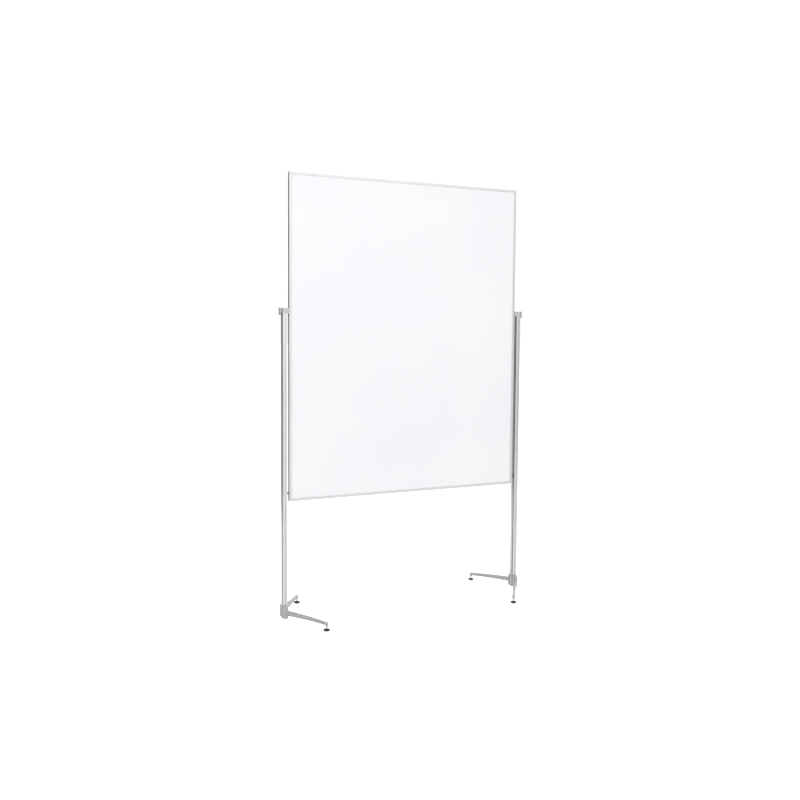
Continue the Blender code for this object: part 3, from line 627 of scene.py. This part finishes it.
def make_pieces():
    for end_name in ENDS:
        make_sheet(end_name)
    for side_name in SIDES:
        softened("post_" + side_name, 0.3 * MM, angle=50, finish="anodised_post")
        softened("frame_" + side_name, 0.25 * MM)
        softened("lower_guide_" + side_name, 0.5 * MM, segments=3)
        softened("clamp_nut_" + side_name, 0.3 * MM)
        softened("head_screw_" + side_name, 0.25 * MM)
        softened("guide_screw_" + side_name, 0.2 * MM)
        softened("post_plug_" + side_name, 0.4 * MM)
        casting("head_" + side_name, 0.55 * MM, 5, finish="cast_head")
        casting("clamp_knob_" + side_name, 0.45 * MM, 6)
        for level in ("lower", "upper"):
            softened("leg_bolt_" + level + "_" + side_name, 0.3 * MM)
        for end_name in ENDS:
            casting("leg_" + side_name + "_" + end_name, 1.1 * MM, 5)
            make_pad(side_name, end_name)
            make_stem(side_name, end_name)
    for level in ("top", "bottom"):
        softened("frame_" + level, 0.25 * MM, finish="anodised_across")


# ---------------------------------------------------------------- studio and camera

def make_camera():
    yaw, pitch, roll = (math.radians(angle) for angle in (CAMERA_YAW, CAMERA_PITCH, CAMERA_ROLL))
    right = Vector((math.cos(yaw), -math.sin(yaw), 0))
    ahead = Vector((math.sin(yaw) * math.cos(pitch), math.cos(yaw) * math.cos(pitch), -math.sin(pitch)))
    up = right.cross(ahead)
    rolled = math.cos(roll) * right + math.sin(roll) * up
    upright = -math.sin(roll) * right + math.cos(roll) * up
    data = bpy.data.cameras.new("camera")
    data.sensor_width = SENSOR_WIDTH
    data.lens = SENSOR_WIDTH * FOCAL_SHARE
    data.shift_y = CAMERA_SHIFT
    data.clip_start = 0.05
    data.clip_end = 100
    camera = bpy.data.objects.new("camera", data)
    bpy.context.scene.collection.objects.link(camera)
    turn = Matrix((rolled, upright, -ahead)).transposed().to_4x4()
    camera.matrix_world = Matrix.Translation(CAMERA_PLACE) @ turn
    bpy.context.scene.camera = camera


def make_floor():
    """A pale floor out to the horizon; its glow clears it to white, and metal sees it a little darker."""
    bm = bmesh.new()
    bmesh.ops.create_circle(bm, cap_ends=True, segments=96, radius=FLOOR_RADIUS)
    floor = mesh_object("studio_floor", mesh_from_bmesh(bm, "studio_floor"))
    floor.location.z = FLOOR_LEVEL
    made = Surface("floor_paint", Specular_IOR_Level=0.1, Emission_Color=(1.0, 1.0, 1.0, 1.0))
    tone = made.noise(0.6, detail=3.0)
    pale = made.mixed(made.between(tone, 0.3, 0.7, 0, 1), (0.93, 0.93, 0.93), (0.95, 0.95, 0.95))
    paths = made.add("ShaderNodeLightPath")
    made.colour(made.mixed(paths.outputs["Is Glossy Ray"], pale, (0.60, 0.60, 0.60)))
    seen = made.math("MULTIPLY", paths.outputs["Is Camera Ray"], FLOOR_GLOW_SEEN)
    made.link(made.math("ADD", seen, FLOOR_GLOW), made.shader.inputs["Emission Strength"])
    made.roughness(made.between(tone, 0.3, 0.7, 0.7, 0.8))
    floor.data.materials.append(made.material)


def make_flag(name, left_end, right_end, height, tone):
    """An upright studio flag that only reflections see: it gives metal edges something dark to mirror."""
    (x1, y1), (x2, y2) = left_end, right_end
    mesh = bpy.data.meshes.new(name)
    mesh.from_pydata([(x1, y1, 0), (x2, y2, 0), (x2, y2, height), (x1, y1, height)], [], [(0, 1, 2, 3)])
    made = bpy.data.materials.new(name)
    made.use_nodes = True
    shader = made.node_tree.nodes["Principled BSDF"]
    shader.inputs["Base Color"].default_value = (0.0, 0.0, 0.0, 1.0)
    shader.inputs["Specular IOR Level"].default_value = 0.0
    shader.inputs["Emission Color"].default_value = (1.0, 1.0, 1.0, 1.0)
    shader.inputs["Emission Strength"].default_value = tone
    mesh.materials.append(made)
    flag = mesh_object(name, mesh)
    flag.visible_camera = False
    flag.visible_diffuse = False
    flag.visible_shadow = False
    flag.visible_transmission = False


def make_world():
    """Plain white surroundings, a little brighter to the camera and in reflections than as light."""
    world = bpy.data.worlds.new("studio")
    world.use_nodes = True
    bpy.context.scene.world = world
    tree = world.node_tree
    background = tree.nodes["Background"]
    paths = tree.nodes.new("ShaderNodeLightPath")
    lit = tree.nodes.new("ShaderNodeMix")
    lit.data_type = "FLOAT"
    tree.links.new(paths.outputs["Is Diffuse Ray"], lit.inputs[0])
    lit.inputs[2].default_value = WORLD_SEEN
    lit.inputs[3].default_value = WORLD_LIGHT
    tree.links.new(lit.outputs[0], background.inputs["Strength"])
    background.inputs["Color"].default_value = (1.0, 1.0, 1.0, 1.0)


def make_key():
    """A large soft box up and to the left, in front of the board."""
    data = bpy.data.lights.new("key", "AREA")
    data.shape = "RECTANGLE"
    data.size, data.size_y = KEY_SIZE
    data.energy = KEY_POWER
    key = bpy.data.objects.new("key", data)
    bpy.context.scene.collection.objects.link(key)
    key.location = KEY_PLACE
    key.rotation_mode = "QUATERNION"
    key.rotation_quaternion = (Vector(KEY_TARGET) - key.location).to_track_quat("-Z", "Y")


def main():
    dress_nodes()
    make_pieces()
    make_floor()
    for flag in FLAGS:
        make_flag(*flag)
    make_world()
    make_key()
    make_camera()
    scene = bpy.context.scene
    scene.view_settings.view_transform = "Standard"
    scene.view_settings.look = "None"


main()
